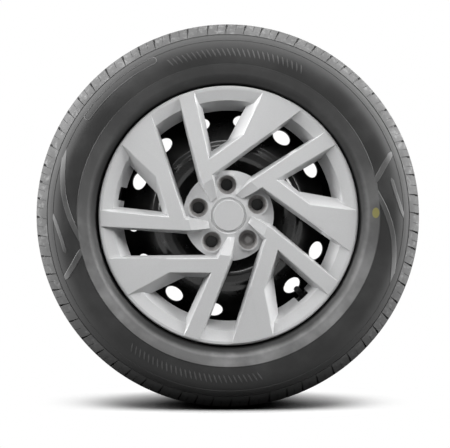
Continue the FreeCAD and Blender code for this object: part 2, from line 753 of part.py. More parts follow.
def add_lug_pockets(body):
    """Conical pockets over the wheel bolts, open at the bottom except for one."""
    wall = S["cover_wall"]
    circle = S["bolt_circle"].number
    share = (circle - S["badge_ring"].number) / (S["hub_radius"].number - S["badge_ring"].number)
    plate = hub_top().number - S["hub_fall"].number * share
    floor = plate - S["lug_depth"].number
    spread = (S["lug_mouth"].number - S["lug_floor"].number) / S["lug_depth"].number
    cup = body.newObject("PartDesign::AdditiveCone", "lug_cup")
    bind(cup, Radius1=S["lug_floor"] + wall, Radius2=S["lug_mouth"] + wall, Height=S["lug_depth"])
    cup.Placement = facing_out(on_wheel(LUG_START, circle, floor))
    round_pattern(body, "lug_cups", [cup], S["bolt_count"])
    mouth = body.newObject("PartDesign::SubtractiveCone", "lug_mouth")
    over = wall * LUG_WALLS
    bind(mouth, Radius1=S["lug_floor"] - over * spread, Radius2=S["lug_mouth"] + over * spread,
         Height=S["lug_depth"] + over * 2)
    mouth.Placement = facing_out(on_wheel(LUG_START, circle, floor - over.number))
    round_pattern(body, "lug_mouths", [mouth], S["bolt_count"])
    dome = body.newObject("PartDesign::AdditiveCone", "closed_lug")
    bind(dome, Radius1=S["lug_floor"] + wall * 0.5, Radius2=S["lug_floor"] * 0.5, Height=wall * DOME_RISE)
    dome.Placement = facing_out(on_wheel(LUG_START + CLOSED_LUG * FULL_TURN / ARMS, circle, floor))


def rim_bore():
    """Inner radius of the rim beside the toe of the bead seat."""
    return S["seat_radius"] - S["hump_height"] * SEAT_FALL - S["rim_sheet"]


def clip_face():
    """Radius of the inner face of the clips' legs."""
    return rim_bore() - S["clip_bridge"]


def add_clips(body):
    """Clip tabs behind the ring, with barbs just inside the rim."""
    wall = S["cover_wall"]
    bend = cover_seat() + wall - S["dish_depth"]
    outer = clip_face() + wall
    barb = rim_bore() - S["clip_gap"]
    sketch = new_sketch(body, "clip_outline", "XY_Plane")
    draw(sketch, [
        (clip_face(), -bend + wall),
        (outer, -bend + wall),
        (outer, -bend + wall * BARB_START),
        (barb, -bend + wall * BARB_PEAK),
        (barb, -bend + wall * BARB_END),
        (outer, -bend + wall * LEG_END),
        (clip_face(), -bend + wall * LEG_END),
    ])
    tab = body.newObject("PartDesign::Pad", "clip")
    tab.Profile = sketch
    tab.Midplane = True
    bind(tab, Length=S["clip_width"])
    round_pattern(body, "clips", [tab], S["clip_count"])


def cut_notches(body):
    """Two notches in the skirt that clear the valve."""
    radius = cover_radius().number
    bend = (cover_seat() + S["cover_wall"] - S["dish_depth"]).number
    for number in range(2):
        notch = body.newObject("PartDesign::SubtractiveBox", f"notch_{number}")
        bind(notch, Length=cover_radius() * (RING_BEND - RING_END), Width=S["skirt_depth"],
             Height=S["notch_half"] * 2)
        front = -bend + S["skirt_depth"].number * NOTCH_START
        corner = FreeCAD.Vector(radius * (RING_END - NOTCH_OVER), front, -S["notch_half"].number)
        angle = S["valve_angle"].number - NOTCH_LEAD - NOTCH_STEP * number
        turn = FreeCAD.Placement(FreeCAD.Vector(), FreeCAD.Rotation(FreeCAD.Vector(0, 1, 0), -angle))
        notch.Placement = turn.multiply(FreeCAD.Placement(corner, FreeCAD.Rotation()))
        body.Tip = notch


def make_cover():
    """Moulded cover: hollow arms on a dished ring and a hub plate, with lug pockets and clip tabs."""
    hollow = new_body("cover_hollow")
    add_arms(hollow, S["cover_wall"])
    body = new_body("wheel_cover")
    add_arms(body, S["cover_wall"] * 0)
    hollowing = body.newObject("PartDesign::Boolean", "hollowing")
    hollowing.Type = "Cut"
    hollowing.setObjects([hollow])
    clear_rim(body)
    revolve(body, "ring", strip(ring_path(), -S["cover_wall"]))
    revolve(body, "hub", strip(hub_path(), S["cover_wall"]))
    add_lug_pockets(body)
    add_clips(body)
    cut_notches(body)
    return body


def make_retaining_ring():
    """Spring wire ring inside the clips."""
    body = new_body("cover_retaining_ring")
    wire = body.newObject("PartDesign::AdditiveTorus", "wire")
    bind(wire, Radius1=clip_face() - S["wire_radius"] - S["wire_gap"], Radius2=S["wire_radius"])
    out = face_at_edge().number - S["wire_depth"].number
    wire.Placement = facing_out(FreeCAD.Vector(0, -out, 0))
    return body


def valve_placement():
    """Frame of the valve: origin on the rim's axis-side face, local Z along the stem to its tip."""
    angle = S["valve_angle"].number
    rise = S["well_depth"].number - S["hump_height"].number
    radius = S["seat_radius"].number - S["well_depth"].number + rise / 2
    out = S["well_out"].number + rise / 2
    turn = math.radians(angle)
    inward = FreeCAD.Vector(-math.cos(turn), 0, -math.sin(turn))
    along = inward * math.sin(LEAN) + FreeCAD.Vector(0, -1, 0) * math.cos(LEAN)
    base = on_wheel(angle, radius, out) + along * S["rim_sheet"].number
    return FreeCAD.Placement(base, FreeCAD.Rotation(FreeCAD.Vector(0, 0, 1), along))


def turned(name, corners):
    """A turned piece of the valve, from (radius, height over the rim) corners."""
    body = new_body(name)
    revolve(body, f"{name}_turned", corners, role="XZ_Plane")
    body.Placement = valve_placement()
    return body


def make_stem():
    """Snap-in rubber stem that grips the edge of the rim's hole."""
    inside = -S["rim_sheet"] - S["stem_gap"]
    outside = S["stem_gap"]
    neck = S["valve_hole"] - S["stem_gap"] * 0.5
    return turned("valve_stem", [
        (S["tube_radius"], inside - S["head_length"]),
        (S["stem_head"] * HEAD_END, inside - S["head_length"]),
        (S["stem_head"], inside - S["head_length"] * HEAD_SLOPE),
        (S["stem_head"], inside),
        (neck, inside),
        (neck, outside),
        (S["stem_foot"], outside),
        (S["stem_foot"], outside + S["foot_height"]),
        (S["stem_end"], S["stem_length"] - S["end_height"]),
        (S["stem_end"] - S["end_width"], S["stem_length"]),
        (S["tube_radius"], S["stem_length"]),
    ])


def make_tube():
    """Brass tube with a threaded end and a chamber for the core."""
    foot = -S["rim_sheet"] - S["stem_gap"] - S["head_length"]
    return turned("valve_tube", [
        (S["core_radius"] * TUBE_BORE, foot),
        (S["tube_radius"], foot),
        (S["tube_radius"], S["stem_length"]),
        (S["thread_radius"], S["stem_length"] + S["thread_step"]),
        (S["thread_radius"], S["tube_length"] - S["thread_edge"]),
        (S["thread_radius"] - S["thread_edge"], S["tube_length"]),
        (S["core_radius"], S["tube_length"]),
        (S["core_radius"], S["chamber_floor"] + S["chamber_slope"]),
        (S["core_radius"] * TUBE_BORE, S["chamber_floor"]),
    ])


def core_levels():
    """Heights of the barrel's foot, web, seal shoulder and top, and of the pin's collar."""
    top = S["tube_length"] - S["core_sink"]
    foot = top - S["core_length"]
    web = foot + S["web_height"]
    return foot, web, foot + S["shoulder_height"], top, top - S["collar_drop"]


def make_core():
    """Brass barrel screwed in the tube, with a web that guides the pin."""
    foot, web, shoulder, top, _collar = core_levels()
    outer = S["core_radius"] - S["core_fit"]
    chamber = S["core_chamber"]
    bore = S["pin_radius"] + S["core_fit"]
    return turned("valve_core", [
        (bore, foot),
        (S["core_neck"], foot),
        (S["core_neck"], shoulder),
        (outer, shoulder + S["shoulder_slope"]),
        (outer, top),
        (chamber, top),
        (chamber, web),
        (bore, web),
    ])


def make_core_seal():
    """Ring seal between the barrel's foot and the tube."""
    foot, _web, shoulder, _top, _collar = core_levels()
    inner = S["core_neck"]
    outer = S["core_radius"] - S["core_fit"]
    return turned("core_seal", [
        (inner, foot + S["seal_start"]),
        (outer, foot + S["seal_start"] + S["seal_slope"]),
        (outer, shoulder - S["seal_slope"]),
        (inner, shoulder),
    ])


def make_pin():
    """Valve pin with a collar for the spring and a head under its seal."""
    foot, _web, _shoulder, top, collar = core_levels()
    head = S["pin_head"]
    return turned("valve_pin", [
        (as_size(0), foot - S["pin_drop"]),
        (head, foot - S["pin_drop"]),
        (head, foot - S["head_top"]),
        (S["pin_radius"], foot - S["head_top"]),
        (S["pin_radius"], collar),
        (S["collar_radius"], collar),
        (S["collar_radius"], collar + S["collar_height"]),
        (S["pin_radius"], collar + S["collar_height"]),
        (S["pin_radius"], top - S["pin_sink"]),
        (as_size(0), top - S["pin_sink"]),
    ])


def make_pin_seal():
    """Rubber washer on the pin that closes the barrel's foot."""
    foot = core_levels()[0]
    return turned("pin_seal", [
        (S["pin_radius"], foot - S["head_top"]),
        (S["pin_head"], foot - S["head_top"]),
        (S["pin_head"], foot - S["core_fit"]),
        (S["pin_radius"], foot - S["core_fit"]),
    ])


def make_spring():
    """Coil between the barrel's web and the pin's collar."""
    _foot, web, _shoulder, _top, collar = core_levels()
    wire = S["spring_wire"].number
    fit = S["core_fit"].number
    start = web.number + wire + fit
    length = collar.number - wire - fit - start
    mean = S["pin_radius"].number + wire + fit * 2
    helix = Part.makeHelix(length / SPRING_TURNS, length, mean)
    circle = Part.makeCircle(wire, FreeCAD.Vector(mean, 0, 0), FreeCAD.Vector(0, 1, 0))
    spring = doc.addObject("Part::Feature", "valve_spring")
    spring.Label = "valve_spring"
    spring.Shape = Part.Wire(helix.Edges).makePipeShell([Part.Wire(circle)], True, True)
    lift = FreeCAD.Placement(FreeCAD.Vector(0, 0, start), FreeCAD.Rotation())
    spring.Placement = valve_placement().multiply(lift)
    return spring


def make_cap():
    """Screwed cap over the tube's end."""
    inner = S["thread_radius"] + S["cap_gap"]
    mouth = S["stem_length"] + S["cap_gap"] + S["thread_step"]
    ceiling = S["tube_length"] + S["cap_gap"]
    top = ceiling + S["cap_wall"]
    return turned("valve_cap", [
        (as_size(0), ceiling),
        (inner, ceiling),
        (inner, mouth),
        (S["cap_radius"], mouth),
        (S["cap_radius"], top - S["cap_edge"]),
        (S["cap_radius"] - S["cap_edge"], top),
        (as_size(0), top),
    ])


def check_document():
    """Stop before anything is written if an object failed."""
    for item in doc.Objects:
        if "Invalid" in item.State or "Error" in item.State:
            raise RuntimeError(f"{item.Name} failed: {item.State}")


def export(bodies):
    """Write each sub-part to its own file."""
    os.makedirs("parts", exist_ok=True)
    for body in bodies:
        if body.Shape.isNull() or not body.Shape.isValid():
            raise RuntimeError(f"{body.Label} has no valid shape")
        body.Shape.exportStep(f"parts/{body.Label}.step")


PIECES = [
    make_tyre(),
    make_rim(),
    make_disc(),
    make_cover(),
    make_retaining_ring(),
    make_stem(),
    make_tube(),
    make_core(),
    make_core_seal(),
    make_pin(),
    make_pin_seal(),
    make_spring(),
    make_cap(),
]
doc.recompute()
check_document()
export(PIECES)
for piece in PIECES:
    print(piece.Label, len(piece.Shape.Solids), round(piece.Shape.Volume / 1000.0, 1), "cm3")
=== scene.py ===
"""Looks of a car wheel: tyre, black steel wheel, silver cover and valve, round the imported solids.

Metres in Blender, millimetres in the outlines below. The spin axis is Y, the outboard face looks along -Y and
Z is up. "Out" is a distance from the wheel's middle plane towards the outboard face.
"""
import bmesh
import bpy
import math
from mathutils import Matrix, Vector


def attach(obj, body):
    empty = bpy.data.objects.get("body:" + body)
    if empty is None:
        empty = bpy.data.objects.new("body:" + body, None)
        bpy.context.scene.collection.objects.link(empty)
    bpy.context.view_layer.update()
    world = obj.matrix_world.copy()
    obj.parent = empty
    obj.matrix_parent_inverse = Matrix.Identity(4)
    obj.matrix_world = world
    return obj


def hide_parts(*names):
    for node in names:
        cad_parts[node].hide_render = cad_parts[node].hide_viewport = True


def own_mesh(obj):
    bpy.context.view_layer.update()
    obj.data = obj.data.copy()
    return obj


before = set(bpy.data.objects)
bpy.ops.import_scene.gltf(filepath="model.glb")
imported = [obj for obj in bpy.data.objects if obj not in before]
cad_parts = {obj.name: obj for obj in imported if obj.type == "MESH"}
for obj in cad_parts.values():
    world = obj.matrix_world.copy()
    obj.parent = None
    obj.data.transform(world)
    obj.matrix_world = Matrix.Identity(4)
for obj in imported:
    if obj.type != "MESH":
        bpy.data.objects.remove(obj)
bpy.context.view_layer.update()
scene = bpy.context.scene
scene.view_settings.view_transform = "Standard"

MM = 0.001
TURN = 2 * math.pi

# Tyre section, (radius, out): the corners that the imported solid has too, and the curves between them.
CROWN = 350.9
TREAD_EDGE = (346.5, 75.0)
SHOULDER = (327.0, 98.0)
WIDEST = (287.0, 113.0)
GUARD = (254.8, 108.0)
GUARD_FLANK = [(252.6, 106.9), (246.5, 102.0), (240.6, 97.4)]
LIP = (237.8, 95.05)
BEAD = [(235.8, 86.92), (229.15, 82.55), (219.6, 82.55), (218.3, 81.25), (217.26, 62.55), (229.15, 66.55)]
INNER_WIDEST = (287.0, 105.0)
INNER_SHOULDER = (331.5, 67.0)
INNER_FLAT = 30.0
INSIDE_LIMIT = INNER_SHOULDER[0] + 5
SHOULDER_CURVE = 34.0
UPPER_CURVE = 72.0
LOWER_CURVE = 95.0
INNER_LOWER_CURVE = 70.0
INNER_UPPER_CURVE = 46.0
CROWN_CURVE = 627.25
SHOULDER_STEPS = 8
INNER_STEPS = 5
# The plain wall lies this far under its highest ribs, and comes back to the section at its two edges.
WALL_SINK = 0.9
SINK_FADE_TOP = 8.0
SINK_FADE_FOOT = 4.0

# Tread: grooves round the tyre, and more stops across it.
GROOVE_FLOOR = 342.1
GROOVES = (17.0, 48.0)
GROOVE_TOP = 5.3
GROOVE_FOOT = 3.4
LAND_MIDDLE = 32.0
SLOT_START = 60.0
TREAD_STOPS = (SLOT_START, 66.0, 71.0)
LAND_OVER_FLOOR = 2.0
LAND_TILT = 0.3

# Tread blocks: lengths of one round's pitches in turn, and where a pitch is parted, in shares of its length.
PITCHES = "mlmssmllmsmmlssm" * 4
PITCH_LENGTHS = {"s": 0.90, "m": 1.0, "l": 1.11}
PARTS = [0.0, 0.125, 0.32, 0.53, 0.552, 0.78]
COLUMNS = len(PITCHES) * len(PARTS)
SLOT_PART = 0
SIPE_PART = 3
SLOT_OVER_SHOULDER = 1.5
SIPE_REACH = 0.7
SLOT_DEPTH = 5.0
SIPE_DEPTH = 2.6
SLOT_EDGE = 0.12
SLOT_FADE = 0.8
SLOT_SLANT = math.radians(0.75)
SLOT_TAPER = 0.72
TREAD_OVER_SHOULDER = -0.5

# Moulded relief of the sidewall from the shoulder inwards: (radius, height over the plain wall).
WALL_RELIEF = [
    (325.6, -1.4), (324.8, 0.0), (323.0, 0.0), (322.2, 0.8), (319.0, 0.9), (315.6, 0.8), (314.8, 0.0),
    (311.0, 0.0), (306.0, 0.0), (301.0, 0.0), (296.0, 0.0), (291.5, 0.0), (287.0, 0.0), (283.0, 0.0),
    (279.0, 0.0), (275.5, 0.0), (272.8, 0.0), (272.0, 0.7), (268.0, 0.8), (263.5, 0.8), (259.0, 0.6),
    (256.6, 0.3),
]

# Raised ribs of the sidewall, (degrees, radius) along each one, and their width in the middle. Each is there
# twice, half a turn apart.
WALL_RIBS = [
    ([(156.0, 319.0), (161.0, 313.0), (166.0, 306.5), (172.8, 298.0), (179.6, 286.5), (184.0, 278.5),
      (188.0, 271.0), (192.0, 266.0)], 10.0),
    ([(179.0, 317.0), (182.0, 311.0), (185.0, 306.5), (188.0, 303.0), (191.0, 301.0), (193.0, 300.0)], 7.0),
    ([(192.4, 266.0), (195.0, 279.0), (197.6, 292.0), (199.6, 304.0), (201.4, 316.0)], 11.0),
]
RIB_HEIGHT = 0.86
RIB_STEPS = 28
RIB_TAPER = 0.12
# A rib's section, (share of its width, share of its height), and what is left of both at its ends.
RIB_SECTION = [(-0.5, -0.6), (-0.36, 1.0), (0.36, 1.0), (0.5, -0.6), (-0.5, -0.6)]
RIB_END_WIDTH = 0.25
RIB_END_HEIGHT = 0.15

# Outlined frame on the sidewall: its ends in degrees, its middle radius and half height, and its line.
FRAME_ENDS = (116.0, 145.0)
FRAME_MIDDLE = 309.5
FRAME_HALF = 6.0
FRAME_STEPS = 24
FRAME_END_STEPS = 8
FRAME_LINE = 1.5
FRAME_HEIGHT = 0.6

# Bands of slanted bars on the sidewall: their ends and pitch in degrees, and the shape of one bar.
BAR_BANDS = ((63.0, 112.0), (233.0, 282.0))
BAR_PITCH = 1.75
BAR_FOOT = 286.0
BAR_LENGTH = 15.0
BAR_SLANT = 1.4
BAR_WIDTH = 2.6
BAR_HEIGHT = 0.5
BAR_TAPER = 0.1
BAR_STEPS = 4

# Cover: count, circle and start of its lug pockets, and where its arms have their rims.
LUGS = 5
LUG_CIRCLE = 56.0
LUG_START = math.radians(93.0)
ARM_RADII = (66.0, 226.0)
ARM_OUT = 99.0
ARM_FACE_TILT = 0.97
ARM_WALL_TILT = 0.8

# Angles, in degrees, from which edges are shaded sharp, and tolerances of the meshes.
SHARP = 40.0
SHARP_RIB = 25.0
SHARP_COVER = 11.0
SPIN_MERGE = 1e-4
FINE_MERGE = 1e-3
NODE_MERGE = 0.02
NODE_FLAT = math.radians(0.4)

# Sidewall's tones: spans in millimetres over which one gives way to the next.
# Painted sheen and dust: the shoulder paler.
SHOULDER_DUST_AND_SHEEN = (296.0, 324.0)
# Painted shade: the wall darker towards the ground.
WALL_GROUND_SHADE = (-330.0, -90.0)
GUARD_START = (244.0, 254.0)
GUARD_END = (270.5, 272.5)
GUARD_WAVER = 10.0
# Painted sheen: the rim guard paler low down.
GUARD_SHEEN_HEIGHT = (-220.0, 260.0)
# Painted shade beside the rim, wider towards the lower left.
RIM_SHADE = (236.5, 245.0)
RIM_SHADE_LEAN = (0.026, 0.010)
OUTBOARD = (-60.0, -50.0)
# Paint mark on the sidewall: its middle and half size across and upright, and its ragged edge.
MARK_MIDDLE = (264.5, 5.0)
MARK_HALF = (6.6, 9.6)
MARK_EDGE = (0.95, 1.2)
MARK_YELLOW = (0.26, 0.24, 0.075, 1.0)
# Other spans: the tread's painted shade near the ground, dust in patches, scuffs, and the edge of a lug
# pocket.
TREAD_GROUND_SHADE = (-350.0, -120.0)
DUST_PATCHES = (0.38, 0.72)
SCUFFS = (0.50, 0.74)
ENAMEL_DUST = (0.5, 0.8)
POCKET_EDGE = (16.4, 17.8)
SILVER_DARK = (0.49, 0.493, 0.497, 1.0)
SILVER_PALE = (0.64, 0.642, 0.646, 1.0)
# Dirt and painted shade in the lug pockets.
POCKET_DIRT_AND_SHADE = (0.19, 0.177, 0.17, 1.0)

# Floor: its half size, where its painted shadow lies behind the wheel's middle, how far off the wheel's
# occlusion darkens it, and the spans of the painted shadow and of pure white.
FLOOR_HALF = 30000.0
SHADOW_BACK = 100.0
SHADOW_REACH = 350.0
PAINTED_SHADOW_SPAN = (20.0, 310.0)
WHITE_SPAN = (190.0, 365.0)
FLOOR_WHITE = 0.97
FLOOR_BOUNCE = 0.05

# Studio: what the world gives in light, and the lamps' names, places and sizes in metres, and watts.
SKY_LOW = 0.06
SKY_HIGH = 0.2
SKY_RISE = (0.0, 0.9)
SKY_BEHIND = (-0.35, 0.15)
LAMPS = [
    ("overhead", (0.0, -1.35, 1.5), (1.6, 0.9), 24.0),
    ("left_side", (-2.2, -0.5, 0.9), (1.1, 1.1), 84.0),
    ("right_side", (2.2, -0.5, 0.9), (1.1, 1.1), 89.0),
    ("rear_fill", (0.0, 2.4, 1.5), (1.6, 0.9), 12.0),
]

# Camera: its place and the wheel's face in metres, the face's scale, the picture's width and the camera's
# shift in pixels, and the sensor in millimetres.
CAMERA_DISTANCE = 3.7
CAMERA_AZIMUTH = math.radians(-1.15)
FACE_OUT = 0.1
METRES_PER_PIXEL = 0.0018
PICTURE_WIDTH = 450
SENSOR_WIDTH = 36.0
CAMERA_SHIFT = (-2.5, -8.4)


class Tap:
    """A value in a shader: sums on it add Math nodes."""

    def __init__(self, finish, socket):
        self.finish = finish
        self.socket = socket

    def __add__(self, other):
        return self.finish.math("ADD", self, other)

    def __sub__(self, other):
        return self.finish.math("SUBTRACT", self, other)

    def __rsub__(self, other):
        return self.finish.math("SUBTRACT", other, self)

    def __mul__(self, other):
        return self.finish.math("MULTIPLY", self, other)

    def __truediv__(self, other):
        return self.finish.math("DIVIDE", self, other)

    __radd__ = __add__
    __rmul__ = __mul__


class Finish:
    """A node tree under construction."""

    def __init__(self, owner):
        owner.use_nodes = True
        self.owner = owner
        self.tree = owner.node_tree

    def node(self, kind, settings=None, inputs=None, output=0):
        """Add a node, set it, feed its sockets and hand back one of its outputs."""
        made = self.tree.nodes.new(kind)
        for key, value in (settings or {}).items():
            setattr(made, key, value)
        for key, value in (inputs or {}).items():
            self.feed(made.inputs[key], value)
        return Tap(self, made.outputs[output])

    def feed(self, socket, value):
        """Link a value to a socket, or set it."""
        if isinstance(value, Tap):
            self.tree.links.new(value.socket, socket)
        else:
            socket.default_value = value

    def math(self, operation, first, second=0.0, clamp=False):
        return self.node("ShaderNodeMath", {"operation": operation, "use_clamp": clamp},
                         {0: first, 1: second})

    def step(self, value, span):
        """Smooth step from 0 at the span's start to 1 at its end."""
        return self.node("ShaderNodeMapRange", {"interpolation_type": "SMOOTHSTEP"},
                         {"Value": value, "From Min": span[0], "From Max": span[1]})

    def noise(self, spot, scale, detail, rough):
        return self.node("ShaderNodeTexNoise", None,
                         {"Vector": spot, "Scale": scale, "Detail": detail, "Roughness": rough})

    def blend(self, share, first, second):
        """Mix of two colours."""
        return self.node("ShaderNodeMix", {"data_type": "RGBA"}, {0: share, 6: first, 7: second}, 2)

    def spot(self):
        """Object coordinates."""
        return self.node("ShaderNodeTexCoord", output="Object")

    def axis(self, spot, name):
        """One of a spot's coordinates, in millimetres."""
        return self.node("ShaderNodeSeparateXYZ", None, {0: spot}, name) * (1 / MM)

    def away(self, across, along):
        """Length of two offsets at right angles."""
        return self.math("SQRT", across * across + along * along)

    def ray(self, kind):
        """1 for rays of a kind."""
        return self.node("ShaderNodeLightPath", output=f"Is {kind} Ray")

    def bump(self, height, strength, distance):
        return self.node("ShaderNodeBump", None,
                         {"Height": height, "Strength": strength, "Distance": distance})

    def shade(self, **sockets):
        """Set or link the material's shader."""
        shader = self.tree.nodes["Principled BSDF"]
        for key, value in sockets.items():
            self.feed(shader.inputs[key.replace("_", " ")], value)
        return self.owner


def new_finish(name):
    return Finish(bpy.data.materials.new(name))


def grey(level, warmth=0.0):
    """A near-grey colour."""
    return (level * (1 + warmth), level, level * (1 - warmth), 1.0)


def wall_rubber(name, highlight_lift):
    """Sidewall rubber: faintly shiny; dust and a painted sheen at the shoulder and the rim guard, painted
    shade towards the ground and at the rim.

    Highlight lift makes its plain tones paler, a painted highlight where it is above 1.
    """
    f = new_finish(name)
    spot = f.spot()
    x, y, z = (f.axis(spot, axis) for axis in "XYZ")
    radius = f.away(x, z)
    grain = f.noise(spot, 1400.0, 3.0, 0.6)
    patch = f.noise(spot, 11.0, 4.0, 0.6)
    fine = f.noise(spot, 90.0, 5.0, 0.65)
    dust = f.step(patch, DUST_PATCHES)
    tone = f.blend(dust, grey(0.025 * highlight_lift), grey(0.041 * highlight_lift))
    # The shoulder is paler with dust and a painted sheen.
    shoulder = f.step(radius, SHOULDER_DUST_AND_SHEEN)
    # Painted shade: the wall darker towards the ground.
    off_ground = f.step(z, WALL_GROUND_SHADE)
    tone = f.blend(shoulder, tone, f.blend(off_ground, grey(0.022 * highlight_lift), grey(0.095 * highlight_lift)))
    # The rim guard is paler with dust and a painted sheen, stronger low down.
    edge = radius + (patch - 0.5) * GUARD_WAVER
    guard = f.step(edge, GUARD_START) * (1.0 - f.step(radius, GUARD_END))
    low = 1.0 - f.step(z, GUARD_SHEEN_HEIGHT)
    tone = f.blend(guard * (0.5 + dust * 0.5), tone, f.blend(low, grey(0.055), grey(0.235)))
    # Painted shade: dark rubber beside the rim, wider at the lower left.
    crescent = x * RIM_SHADE_LEAN[0] + z * RIM_SHADE_LEAN[1] + radius
    rim_side = 1.0 - f.step(crescent, RIM_SHADE)
    tone = f.blend(rim_side, tone, grey(0.006))
    across = (x - MARK_MIDDLE[0]) / MARK_HALF[0]
    upright = (z - MARK_MIDDLE[1]) / MARK_HALF[1]
    mark = 1.0 - f.step(across * across + upright * upright + fine * 0.3, MARK_EDGE)
    outboard = 1.0 - f.step(y, OUTBOARD)
    tone = f.blend(mark * outboard * 0.8, tone, MARK_YELLOW)
    rough = 0.40 + dust * 0.12 + fine * 0.08 + shoulder * 0.3
    normal = f.bump(grain, 0.2, 0.0004)
    return f.shade(Base_Color=tone, Roughness=rough, Normal=normal, Specular_IOR_Level=0.28)


def tread_rubber():
    """Tread rubber: dull, pale grey with dust and a painted sheen, scuffed in patches, and darker near the
    ground as painted shade.
    """
    f = new_finish("tread_rubber")
    spot = f.spot()
    grain = f.noise(spot, 1100.0, 3.0, 0.6)
    patch = f.noise(spot, 16.0, 4.0, 0.6)
    fine = f.noise(spot, 90.0, 5.0, 0.65)
    dust = f.step(fine, SCUFFS) * 0.7 + f.step(patch, DUST_PATCHES) * 0.3
    # The pale grey stands partly for dust, partly for a painted sheen.
    tone = f.blend(dust, grey(0.15), grey(0.30))
    # Painted shade: the tread darker near the ground.
    tone = f.blend(f.step(f.axis(spot, "Z"), TREAD_GROUND_SHADE), grey(0.055), tone)
    normal = f.bump(grain, 0.3, 0.0005)
    return f.shade(Base_Color=tone, Roughness=0.75 + fine * 0.15, Normal=normal, Specular_IOR_Level=0.0)


def silver_lacquer():
    """Silver metallic lacquer on moulded plastic, dull in the lug pockets and darker there with dirt and
    painted shade.
    """
    f = new_finish("silver_lacquer")
    spot = f.spot()
    x = f.axis(spot, "X")
    z = f.axis(spot, "Z")
    flake = f.noise(spot, 2600.0, 2.0, 0.7)
    speck = f.noise(spot, 520.0, 2.0, 0.6)
    cloud = f.noise(spot, 20.0, 3.0, 0.5)
    pocket = 0.0
    for number in range(LUGS):
        turn = LUG_START + number * TURN / LUGS
        away = f.away(x - LUG_CIRCLE * math.cos(turn), z - LUG_CIRCLE * math.sin(turn))
        pocket = (1.0 - f.step(away, POCKET_EDGE)) + pocket
    tone = f.blend(flake * 0.2 + speck * 0.5 + cloud * 0.2, SILVER_DARK, SILVER_PALE)
    # Dirt and painted shade in the lug pockets.
    tone = f.blend(pocket * (0.55 + cloud * 0.45), tone, POCKET_DIRT_AND_SHADE)
    rough = 0.36 + flake * 0.10 + pocket * 0.2
    normal = f.bump(flake, 0.06, 0.0002)
    return f.shade(Base_Color=tone, Roughness=rough, Normal=normal, Metallic=0.12, Coat_Weight=0.4,
                   Coat_Roughness=0.1)


def black_enamel():
    """Glossy black paint on pressed steel, with a faint orange peel."""
    f = new_finish("black_enamel")
    spot = f.spot()
    peel = f.noise(spot, 160.0, 2.0, 0.4)
    dust = f.noise(spot, 30.0, 4.0, 0.6)
    tone = f.blend(f.step(dust, ENAMEL_DUST), grey(0.008), grey(0.014, 0.05))
    rough = 0.24 + dust * 0.08
    normal = f.bump(peel, 0.02, 0.0006)
    return f.shade(Base_Color=tone, Roughness=rough, Normal=normal, Specular_IOR_Level=0.4, Coat_Weight=0.4,
                   Coat_Roughness=0.12)


def plain_finish(name, low, high, rough, metallic=0.0):
    """Small part's finish with a fine grain."""
    f = new_finish(name)
    grain = f.noise(f.spot(), 300.0, 3.0, 0.6)
    tone = f.blend(grain, low, high)
    normal = f.bump(grain, 0.1, 0.0002)
    return f.shade(Base_Color=tone, Roughness=rough + grain * 0.15, Normal=normal, Metallic=metallic)


def finish_piece(bm, name, finish, body, sharp):
    """Make an object of a mesh, with smooth faces between its sharp edges."""
    mesh = bpy.data.meshes.new(name)
    bm.to_mesh(mesh)
    bm.free()
    mesh.polygons.foreach_set("use_smooth", [True] * len(mesh.polygons))
    mesh.set_sharp_from_angle(angle=math.radians(sharp))
    mesh.materials.append(finish)
    piece = bpy.data.objects.new(name, mesh)
    scene.collection.objects.link(piece)
    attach(piece, body)
    return piece


def arc_centre(start, end, curve):
    """Centre of the arc between two (radius, out) points that bulges outboard."""
    along = (end[0] - start[0], end[1] - start[1])
    chord = math.hypot(*along)
    rise = math.sqrt(curve ** 2 - chord ** 2 / 4)
    side = math.copysign(1.0, along[0])
    return ((start[0] + end[0]) / 2 + side * along[1] / chord * rise,
            (start[1] + end[1]) / 2 - side * along[0] / chord * rise)


def arc(start, end, curve, count):
    """Points from start to end along such an arc, without the start."""
    centre = arc_centre(start, end, curve)
    first = math.atan2(start[1] - centre[1], start[0] - centre[0])
    last = math.atan2(end[1] - centre[1], end[0] - centre[0])
    angles = [first + (last - first) * number / count for number in range(1, count + 1)]
    return [(centre[0] + curve * math.cos(a), centre[1] + curve * math.sin(a)) for a in angles]


def crown_at(out):
    """Radius of the tread at a distance from the middle plane."""
    return CROWN - CROWN_CURVE + math.sqrt(CROWN_CURVE ** 2 - out ** 2)


def wall_out(radius):
    """Out distance of the plain sidewall at a radius."""
    upper = radius > WIDEST[0]
    start, end, curve = (SHOULDER, WIDEST, UPPER_CURVE) if upper else (WIDEST, GUARD, LOWER_CURVE)
    centre = arc_centre(start, end, curve)
    fade = min(1.0, (SHOULDER[0] - radius) / SINK_FADE_TOP, (radius - GUARD[0]) / SINK_FADE_FOOT)
    return centre[1] + math.sqrt(curve ** 2 - (radius - centre[0]) ** 2) - WALL_SINK * fade


